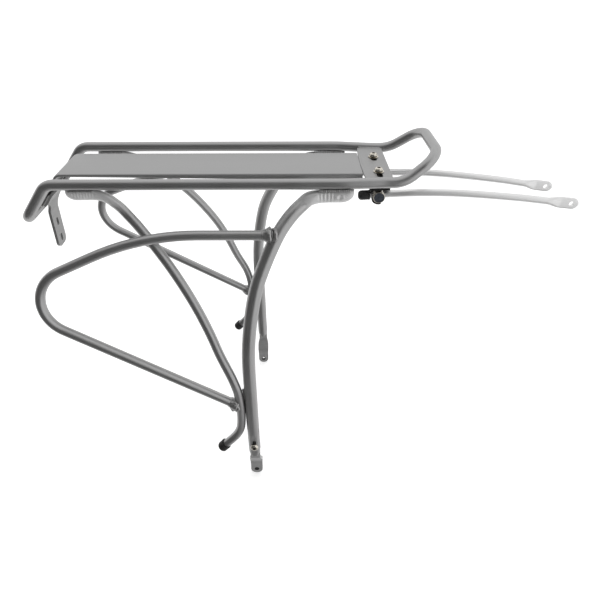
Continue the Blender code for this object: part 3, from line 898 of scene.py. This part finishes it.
def make_bracket(finish):
    """The reflector strip: rounded lower end, flared top welded inside the deck's flap."""
    low, _ = box_mm("reflector_bracket")
    middle_x = -205.4 + BRACKET_THICKNESS / 2
    half, corner, wing, top_z = 10, 6, 24, -34
    stations = []
    for degrees in range(6, 91, 6):
        angle = math.radians(degrees)
        rise = corner * (1 - math.cos(angle))
        stations.append((middle_x, low.z + rise, half - corner + corner * math.sin(angle)))
    stations += [(middle_x, -60, half), (middle_x, -49, half), (middle_x + 0.2, -46.5, half)]
    for degrees in range(0, 91, 9):
        angle = math.radians(degrees)
        z = top_z - 9 * (1 - math.sin(angle))
        widening = (wing - half) * (1 - math.cos(angle))
        stations.append((middle_x + 0.6 + (z + 45) * 0.29, z, half + widening))
    slope = flap_direction()
    x, z, _ = stations[-1]
    for along in (3, 8, 14):
        stations.append((x + slope.x * along + 0.4, z + slope.z * along, wing))
    strip = strip_mesh(stations, BRACKET_THICKNESS, lambda u, v, w: at(u, w, v))
    cuts = []
    for z, half_length in ((-62, 4.4), (-80.5, 4.2)):
        outline = [(u, z + v) for u, v in stadium(half_length, 2.2)]
        cuts.append(prism_mesh(outline, -212, -196, lambda u, v, w: at(w, u, v)))
    bracket = carved(strip, cuts=cuts)
    return piece("bracket_strip", bracket, finish, "root", ["reflector_bracket"], edge=0.5)


def make_sheet_welds(finish):
    """Beads along the plate's ends, the flap's edge on the rear bar, and the bracket's wings."""
    for side, sign in SIDES:
        seam = [at(112, sign * 43.6, 0.9), at(124, sign * 42.2, 0.8), at(135, sign * 41.6, 0.7)]
        make_bead(f"weld_plate_{side}", smooth_path(seam), 1.2, finish)
        inside = [at(114, sign * 44.4, -3.5), at(135, sign * 42.6, -3.5)]
        make_bead(f"weld_plate_under_{side}", inside, 1.6, finish)
    slope = flap_direction()
    inward = slope.cross(ACROSS)
    bar = at(REAR_BAR_X, 0, REAR_BAR_Z)
    if inward.x < 0:
        inward = -inward
    inner = bar + slope * 5.6 * MM + inward * 1.9 * MM
    outer = bar + slope * 6.2 * MM - inward * 1.3 * MM
    for label, centre, radius in (("inner", inner, 1.9), ("outer", outer, 1.3)):
        seam = [centre - ACROSS * 27 * MM, centre + ACROSS * 27 * MM]
        make_bead(f"weld_flap_{label}", seam, radius, finish, pitch=2.4)
    for side, sign in SIDES:
        start = at(-201.5, sign * 23.5, -33)
        seam = [start, start + slope * 13 * MM]
        make_bead(f"weld_bracket_{side}", seam, 1.1, finish)


def make_foot_tab(side, sign, finish, eyelet_shade_finish):
    """The foot tab: its neck in the leg, a pressed step inward, and a round end with the eyelet."""
    low, _ = box_mm(f"foot_tab_{side}")
    radius, neck = 6.7, 5.4
    eyelet_y = 96.2
    eyelet_z = low.z + radius * math.sin(math.radians(74))
    knots = [
        (FOOT_Y, FOOT_SCREW_Z + 14, neck), (FOOT_Y, -298, neck), (FOOT_Y, -305.6, neck),
        (FOOT_Y - 0.6, -309, 6), (FOOT_Y - 3.6, -313, 7), (eyelet_y + 1.2, -318.5, 7.2),
        (eyelet_y, -323, 7), (eyelet_y, -328, radius), (eyelet_y, eyelet_z, radius),
    ]
    stations = [tuple(point) for point in smooth_path([Vector(knot) for knot in knots], 5)]
    for degrees in range(6, 85, 6):
        angle = math.radians(degrees)
        stations.append((eyelet_y, eyelet_z - radius * math.sin(angle), radius * math.cos(angle)))
    strip = strip_mesh(stations, TAB_THICKNESS, lambda u, v, w: at(w, sign * u, v))
    eyelet = through_hole(at(0, sign * eyelet_y, eyelet_z), ACROSS, 2.7)
    hole = through_hole(at(0, sign * FOOT_Y, FOOT_SCREW_Z), ACROSS, FOOT_SHANK_RADIUS + 0.3)
    tab = carved(strip, cuts=[eyelet, hole])
    # A thin black sleeve on the eyelet's wall, in the clamp blocks' black: painted shade inside the hole.
    rim = TAB_THICKNESS / 2 - 0.1
    shade_sleeve_profile = [(2.65, -rim), (2.65, rim), (2.35, rim), (2.35, -rim)]
    turn = Matrix.Rotation(math.radians(90), 3, "X")
    centre = at(0, sign * eyelet_y, eyelet_z)
    rings = []
    for u, v in circle(1):
        rings.append([centre + turn @ Vector((u * r, v * r, w)) * MM for r, w in shade_sleeve_profile])
    piece(f"eyelet_painted_shade_{side}", skin(rings, closed=True), eyelet_shade_finish, f"{side}_foot")
    return piece(
        f"foot_plate_{side}", tab, finish, f"{side}_foot", [f"foot_tab_{side}"], edge=0.5
    )


# ----------------------------------------------------------- screws and clamps


def button_profile(radius, height, shank_radius, shank_end):
    """Half the outline of a button-head screw: shank, rim, then a dome with a flat top."""
    rim = 0.28 * height
    profile = [(shank_radius, shank_end), (shank_radius, 0), (radius - 0.25, 0), (radius, 0.2)]
    flat = 0.46 * radius
    for step in range(9):
        angle = math.radians(90 * step / 8)
        dome = flat + (radius - flat) * math.cos(angle)
        profile.append((dome, rim + (height - rim) * math.sin(angle)))
    return profile


def hexagon(across_flats, start, end):
    return cylinder_mesh(across_flats / math.sqrt(3), start, end, sides=6)


def make_screw(name, node, body, base, axis, radius, height, shank, finish, shade):
    """A button-head screw whose hexagon socket is painted dark inside, as painted shade."""
    head = turned_mesh(button_profile(radius, height, *shank), base, axis)
    depth = 0.62 * height
    socket = hexagon(3.2, base + axis * (height - depth) * MM, base + axis * 3 * height * MM)
    screw = piece(name, carved(head, cuts=[socket]), finish, body, [node], edge=0.12)

    def in_socket(point):
        offset = point - base
        along = offset.dot(axis)
        inside = (offset - axis * along).length < 1.62 * MM
        return inside and (height - depth - 0.2) * MM < along < (height - 0.25) * MM

    # The socket's bottom and walls get the painted shade: dark colour where the recess is in shade.
    paint_faces(screw, shade, in_socket)
    return screw


def make_nut(name, node, body, finish, axis):
    """A hexagon nut with both faces chamfered, filling the CAD nut's box."""
    low, high = map(Vector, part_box(node))
    middle = (low + high) / 2
    half = abs((high - low).dot(axis)) / 2
    across = min(high.x - low.x, high.z - low.z)
    start, end = middle - axis * half, middle + axis * half
    body_mesh = hexagon(across / MM, start, end)
    bore = through_hole(middle, axis, SCREW_RADIUS + 0.1)
    return piece(name, carved(body_mesh, cuts=[bore]), finish, body, [node], edge=0.35)


def make_toothed_washer(side, finish):
    """A flat washer whose rim is cut into small slanted teeth."""
    low, high = map(Vector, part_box(f"plate_washer_{side}"))
    centre = Vector(((low.x + high.x) / 2, (low.y + high.y) / 2, low.z))
    outer = (high.x - low.x) / 2 / MM
    height = (high.z - low.z) / MM
    teeth, steps = 26, 6
    rings = []
    for index in range(teeth * steps):
        angle = math.tau * index / (teeth * steps)
        tooth = (index % steps) / (steps - 1)
        lift = 0.2 * tooth
        radius = outer - 0.5 * abs(tooth - 0.5)
        profile = [
            (SCREW_RADIUS + 0.4, 0.1), (outer - 0.5, 0), (radius, 0.15), (radius, 0.3 + lift),
            (outer - 1.3, height - 0.05), (SCREW_RADIUS + 0.4, height - 0.05),
        ]
        turn = Vector((math.cos(angle), math.sin(angle), 0))
        rings.append([centre + (turn * r + UP * z) * MM for r, z in profile])
    nodes = [f"plate_washer_{side}"]
    ring = skin(rings, closed=True)
    return piece(f"toothed_washer_{side}", ring, finish, f"{side}_clamp", nodes)


def make_clamp_block(side, sign, finish):
    """The black block under the plate, its lug, and a saddle below the eye bolt's head."""
    low, high = box_mm(f"clamp_block_{side}")
    y = SCREW_Y[side]
    pad_bottom = -11
    pad = box_mesh(at(low.x, low.y, pad_bottom), at(high.x, high.y, high.z))
    edges = sorted((sign * (y + 2.7), sign * (y - 5.6)))
    neck = box_mesh(at(CLAMP_X - 6.4, edges[0], STAY_AXIS_Z), at(CLAMP_X + 6.4, edges[1], -9))
    lug = cylinder_mesh(6.4, *(at(CLAMP_X, edge, STAY_AXIS_Z) for edge in edges))
    well = cylinder_mesh(2.7, at(CLAMP_X, sign * y, -12), at(CLAMP_X, sign * y, 8))
    bore = through_hole(at(CLAMP_X, sign * y, STAY_AXIS_Z), ACROSS, 2.7)
    block = carved(pad, cuts=[well, bore], additions=[neck, lug])
    name = f"clamp_body_{side}"
    made = piece(name, block, finish, f"{side}_clamp", [f"clamp_block_{side}"], edge=0.7)
    inner = arc((0, 0), EYE_RADIUS + 0.25, 214, 290, 20)
    outer = arc((0, 0), EYE_RADIUS + 1.9, 290, 214, 20)

    def place(u, v, w):
        return at(CLAMP_X + u, sign * (y + w), STAY_AXIS_Z + v)

    saddle_mesh = prism_mesh(inner + outer, 2.0, EYE_HEAD_OUT - 1.2, place)
    piece(f"clamp_saddle_{side}", saddle_mesh, finish, f"{side}_clamp", edge=0.4)
    return made


def stay_frame(side, sign):
    """Where the stay's axis meets the eye bolt's, and how the stay is tilted there."""
    centre = at(CLAMP_X, sign * (SCREW_Y[side] + STAY_OFFSET), STAY_AXIS_Z)
    return centre, Matrix.Rotation(-math.radians(STAY_TILT[side]), 3, "Y")


def make_eye_bolt(side, sign, finish, slate):
    """The bolt that holds the stay: a barrel with a cross hole and a slate face in a bright rim."""
    base = at(CLAMP_X, sign * SCREW_Y[side], STAY_AXIS_Z)
    outward = Vector((0, sign, 0))
    end, rim, recess = EYE_HEAD_OUT, 0.75, 0.35
    profile = [
        (SCREW_RADIUS, -9.6), (SCREW_RADIUS, 3), (EYE_RADIUS - 0.3, 3), (EYE_RADIUS, 3.3),
        (EYE_RADIUS, end - 3.4), (EYE_RADIUS - 0.35, end - 3.1), (EYE_RADIUS - 0.35, end - 2.7),
        (EYE_RADIUS, end - 2.4),
    ]
    profile += arc((EYE_RADIUS - 0.5, end - 0.5), 0.5, 0, 90, 5)
    profile = [tuple(point) for point in profile]
    profile += [(EYE_RADIUS - rim, end - 0.05), (EYE_RADIUS - rim - 0.1, end - recess)]
    profile += [(3.2, end - recess + 0.08), (1.2, end - recess + 0.12)]
    bolt = turned_mesh(profile, base, outward)
    centre, tilt = stay_frame(side, sign)
    along = tilt @ Vector((1, 0, 0.04)).normalized()
    hole = through_hole(centre, along, STAY_RADIUS + 0.25)
    name = f"eye_barrel_{side}"
    barrel = piece(name, carved(bolt, cuts=[hole]), finish, f"{side}_eye", [f"eye_bolt_{side}"])

    def on_face(point):
        offset = point - base
        depth = offset.dot(outward)
        from_axis = (offset - outward * depth).length
        return depth > (end - recess - 0.1) * MM and from_axis < (EYE_RADIUS - rim - 0.06) * MM

    paint_faces(barrel, slate, on_face)
    return barrel


def stay_point(side, sign, x, z):
    centre, tilt = stay_frame(side, sign)
    return centre + tilt @ (Vector((x - STAY_SET_BACK[side], 0, z)) * MM)


def stay_straight_point(side, sign, x):
    """A point on the axis of the stay's straight front stretch."""
    return stay_point(side, sign, x, STAY_STRAIGHT_Z + (x - STAY_STRAIGHT_X) * STAY_SLOPE)


def stay_line(side, sign):
    line = [(STAY_REAR, -0.8), (0, 0), (34, 1.5), (70, 1.2), (105, -1.1), (140, -4.4)]
    line.append((STAY_STRAIGHT_X, STAY_STRAIGHT_Z))
    path = smooth_path([stay_point(side, sign, x, z) for x, z in line])
    steps = 62
    for step in range(1, steps + 1):
        x = STAY_STRAIGHT_X + (STAY_FRONT - STAY_STRAIGHT_X) * step / steps
        path.append(stay_straight_point(side, sign, x))
    return path


def make_stay(side, sign, finish):
    """A stay: a gently bent rod whose front end is pressed into a flat palm with an eye."""
    path = stay_line(side, sign)
    total = path_length(path)
    palm_height, palm_thickness = 5.6, 1.5

    def section(travelled):
        to_end = total - travelled
        share = eased((31 - to_end) / 14)
        half_height = STAY_RADIUS * (1 - share) + palm_height * share
        half_width = STAY_RADIUS * (1 - share) + palm_thickness * share
        if to_end < palm_height:
            half_height = math.sqrt(max(1.2, palm_height**2 - (palm_height - to_end) ** 2))
        sharpness = 1 + 2.2 * share
        offsets = []
        for u, v in circle(1):
            wide = math.copysign(abs(u) ** (1 / sharpness), u)
            offsets.append((wide * half_width, v * half_height))
        return offsets

    rod = swept_mesh(path, section)
    eye = stay_straight_point(side, sign, STAY_EYE_X)
    rod = carved(rod, cuts=[through_hole(eye, ACROSS, 2.5)])
    return piece(f"stay_rod_{side}", rod, finish, f"{side}_stay", [f"stay_{side}"])


def make_cap(name, node, body, tip, axis, tube_radius, cover, wall, finish):
    """A soft cup over a tube's end, with a swollen lip, a seam line and a domed end."""
    inner = tube_radius + 0.15
    outer = tube_radius + 0.3 + wall
    end = 1.6
    profile = [(0.05, 0.15), (inner, 0.15), (inner, -cover + 0.3), (inner + 0.2, -cover)]
    profile += [(outer - 0.1, -cover), (outer + 0.15, -cover + 0.4), (outer + 0.15, -cover + 1.1)]
    profile += [(outer - 0.12, -cover + 1.6), (outer - 0.12, -cover + 1.9), (outer, -cover + 2.3)]
    dome = arc((outer - 3.2, end - 3.2), 3.2, 0, 90, 12)
    profile += [tuple(point) for point in dome]
    profile += [(0.05, end)]
    return piece(name, turned_mesh(profile, tip, axis), finish, body, [node])


# ------------------------------------------------------------ stage and camera


def make_floor():
    bm = bmesh.new()
    reach, gap = 9, 0.0005
    corners = [(-reach, -reach), (reach, -reach), (reach, reach), (-reach, reach)]
    bm.faces.new([bm.verts.new((x, y, cad_box[0].z - gap)) for x, y in corners])
    floor = linked_object("floor", bm)
    finish = bpy.data.materials.new("pale_floor")
    finish.use_nodes = True
    sockets = finish.node_tree.nodes["Principled BSDF"].inputs
    sockets["Base Color"].default_value = (0.85, 0.85, 0.85, 1)
    sockets["Roughness"].default_value = 0.9
    sockets["Specular IOR Level"].default_value = 0.1
    sockets["Emission Color"].default_value = (1, 1, 1, 1)
    sockets["Emission Strength"].default_value = 0.5
    floor.data.materials.append(finish)
    floor.visible_glossy = False


def make_world():
    """A white room: bright behind, above and to the front right, dim where the camera stands."""
    world = bpy.data.worlds.new("studio")
    bpy.context.scene.world = world
    world.use_nodes = True
    nodes, links = world.node_tree.nodes, world.node_tree.links
    split = nodes.new("ShaderNodeSeparateXYZ")
    links.new(nodes.new("ShaderNodeTexCoord").outputs["Generated"], split.inputs["Vector"])

    def glow(value, dark, bright, strength):
        return mapped(world.node_tree, value, dark, bright, 0, strength, smooth=True)

    def joined(operation, first, second):
        math_node = nodes.new("ShaderNodeMath")
        math_node.operation = operation
        for socket, value in zip(math_node.inputs, (first, second)):
            if isinstance(value, float):
                socket.default_value = value
            else:
                links.new(value, socket)
        return math_node.outputs["Value"]

    def leaning(back_share, up_share):
        """How far a direction points back and up, in those shares."""
        back = joined("MULTIPLY", split.outputs["Y"], back_share)
        return joined("ADD", back, joined("MULTIPLY", split.outputs["Z"], up_share))

    behind = glow(leaning(1.0, -0.35), -0.1, 0.3, 0.88)
    above = glow(leaning(0.6, 0.8), 0.0, 0.95, 0.93)
    below = glow(split.outputs["Z"], -0.4, -1.0, 0.45)
    low_front = glow(split.outputs["Z"], -0.9, -0.5, 1.0)
    front_right = joined("MULTIPLY", glow(split.outputs["X"], 0.2, 0.42, 0.95), low_front)
    light = joined("MAXIMUM", joined("MAXIMUM", behind, above), joined("MAXIMUM", below, front_right))
    light = joined("MAXIMUM", light, 0.105)
    shown = joined("MAXIMUM", light, nodes.new("ShaderNodeLightPath").outputs["Is Camera Ray"])
    links.new(shown, nodes["Background"].inputs["Color"])


def make_lights():
    """One large soft light above and a smaller one from the front right."""
    for name, place, size, power in (
        ("overhead", (0.1, 0.35, 1.7), 1.6, 7),
        ("front_right", (1.1, -0.9, 0.9), 0.8, 2),
    ):
        light = bpy.data.lights.new(name, "AREA")
        light.shape = "SQUARE"
        light.size = size
        light.energy = power
        lamp = bpy.data.objects.new(name, light)
        lamp.location = place
        lamp.visible_glossy = False
        aim = Vector((0, 0, 0.2)) - lamp.location
        lamp.rotation_euler = aim.to_track_quat("-Z", "Y").to_euler()
        bpy.context.scene.collection.objects.link(lamp)


def make_camera():
    camera = bpy.data.cameras.new("camera")
    camera.sensor_width = 36
    camera.lens = 32.289
    camera.shift_x = 0.00745
    camera.shift_y = -0.04115
    camera.clip_start = 0.01
    holder = bpy.data.objects.new("camera", camera)
    holder.location = (0.0416, -0.5067, 0.5316)
    holder.rotation_euler = (math.radians(90 - 32.73), 0, -0.0087)
    bpy.context.scene.collection.objects.link(holder)
    bpy.context.scene.camera = holder


# ------------------------------------------------------------------- assembly


def make_side(side, sign, finishes):
    """Everything that the rack has once on each side."""
    outward = Vector((0, sign, 0))
    make_leg(side, sign, finishes["pressed_tube"])
    make_brace(side, sign, finishes["pressed_tube"])
    make_pannier_loop(side, sign, finishes["satin"])
    make_frame_welds(side, sign, finishes["weld"])
    # The clamp blocks' black also serves as painted shade on the foot eyelet's wall.
    make_foot_tab(side, sign, finishes["pressed"], finishes["black"])
    foot_base = at(0, sign * (FOOT_Y + LEG_FLAT_OUT + 0.3), FOOT_SCREW_Z)
    make_screw(
        f"foot_bolt_{side}", f"foot_screw_{side}", f"{side}_foot",
        foot_base, outward, 4.2, 2.7, (FOOT_SHANK_RADIUS, -7.6),
        finishes["nickel"], finishes["shade"],
    )
    plate_base = at(CLAMP_X, sign * SCREW_Y[side], PLATE_TOP + 1.3)
    make_screw(
        f"plate_bolt_{side}", f"plate_screw_{side}", f"{side}_clamp",
        plate_base, UP, 4, 3, (SCREW_RADIUS, -11.5), finishes["nickel"], finishes["shade"],
    )
    make_toothed_washer(side, finishes["nickel"])
    make_clamp_block(side, sign, finishes["black"])
    make_eye_bolt(side, sign, finishes["nickel"], finishes["slate"])
    make_nut(f"eye_hexnut_{side}", f"eye_nut_{side}", f"{side}_eye", finishes["nickel"], ACROSS)
    make_stay(side, sign, finishes["bright"])
    stay = stay_line(side, sign)
    make_cap(
        f"stay_end_cap_{side}", f"stay_cap_{side}", f"{side}_stay",
        stay[0], (stay[0] - stay[2]).normalized(), STAY_RADIUS, 9.5, 0.8, finishes["rubber"],
    )
    brace = brace_path(side, sign)
    make_cap(
        f"hook_end_cap_{side}", f"hook_cap_{side}", "root",
        brace[-1], (brace[-1] - brace[-2]).normalized(), BRACE_RADIUS, 8, 0.9, finishes["rubber"],
    )


def main():
    finishes = {
        "satin": satin_silver(),
        "pressed_tube": satin_silver("pressed_silver", pressed_share=0.6),
        "drawn": drawn_silver(),
        "blasted": blasted_silver(),
        "weld": weld_silver(),
        "bright": bright_aluminium(),
        "pressed": pressed_aluminium(),
        "nickel": nickel(),
        # Painted shade for the screw sockets.
        "shade": painted_socket_shade(),
        "slate": slate_face(),
        "black": anodised_black(),
        "rubber": soft_rubber(),
    }
    make_top_rail(finishes["satin"])
    make_deck(finishes["drawn"])
    make_front_plate(finishes["blasted"])
    make_bracket(finishes["blasted"])
    make_sheet_welds(finishes["weld"])
    for side, sign in SIDES:
        make_side(side, sign, finishes)
    make_floor()
    make_world()
    make_lights()
    make_camera()
    bpy.context.scene.view_settings.view_transform = "Standard"


main()
